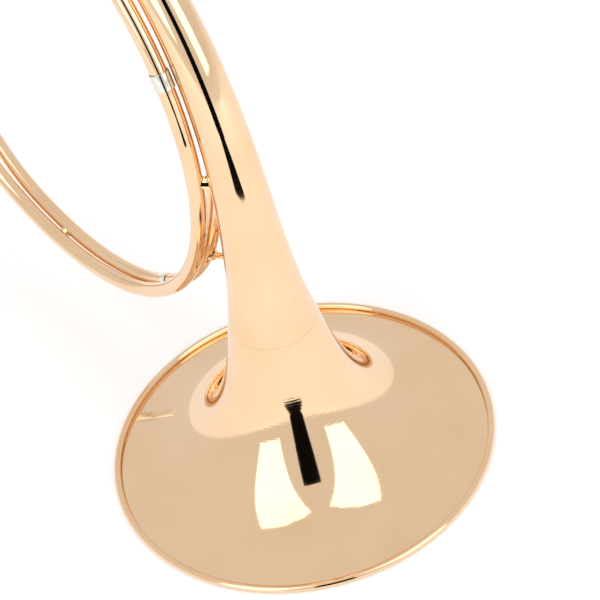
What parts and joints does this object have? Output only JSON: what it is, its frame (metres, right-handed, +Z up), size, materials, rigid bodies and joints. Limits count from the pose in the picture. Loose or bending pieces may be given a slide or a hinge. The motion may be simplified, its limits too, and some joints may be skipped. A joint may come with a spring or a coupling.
{
  "type": "hunting horn",
  "caption": "Hunting horn with a round coil of brass tube, a wide flared bell, a sliding mouthpipe and a removable mouthpiece; it stands on its bell.",
  "frame": {"origin": "bottom centre of the horn's box: on the plane that the bell rim stands on, midway along the horn's length and width", "axes": "+X from the coil towards the bell, +Z up from the bell's mouth along its axis, +Y away from the side that the third pass of tube lies on"},
  "size_m": [0.539, 0.27, 0.462],
  "materials": {
    "gold_brass": "mirror polished and lacquered",
    "nickel_silver": "polished nickel silver",
    "silver_plate": "polished silver plate"
  },
  "bodies": {
    "horn_body": {"bell_flare": "gold_brass", "rim_wire": "gold_brass", "bell_tail": "gold_brass", "tail_ferrule": "nickel_silver", "tail_branch": "gold_brass", "branch_ferrule": "nickel_silver", "coil_tube_outer": "gold_brass", "ferrule_bottom": "nickel_silver", "coil_tube_inner": "gold_brass", "ferrule_top": "nickel_silver", "coil_tube_crossing": "gold_brass", "ferrule_left": "nickel_silver", "coil_tube_side": "gold_brass", "ferrule_side": "nickel_silver", "coil_tube_last": "gold_brass", "mouthpipe_sleeve": "nickel_silver", "stay_bell_low": "gold_brass", "stay_bell_side": "gold_brass", "stay_right_inner": "gold_brass", "stay_top_inner": "gold_brass", "stay_top_side": "gold_brass", "stay_left_inner": "gold_brass", "stay_left_side": "gold_brass", "stay_bottom": "gold_brass"},
    "mouthpipe_slide_body": {"mouthpipe_slide": "gold_brass", "slide_ring": "nickel_silver", "receiver": "nickel_silver"},
    "mouthpiece_body": {"mouthpiece": "silver_plate"}
  },
  "joints": [
    {"name": "mouthpipe_tuning_slide", "type": "slide", "parent": "horn_body", "child": "mouthpipe_slide_body", "axis": [0, 0, -1], "range_m": [0, 0.025]},
    {"name": "mouthpiece_seat", "type": "slide", "parent": "mouthpipe_slide_body", "child": "mouthpiece_body", "axis": [0, 0, -1], "range_m": [0, 0.03]}
  ]
}
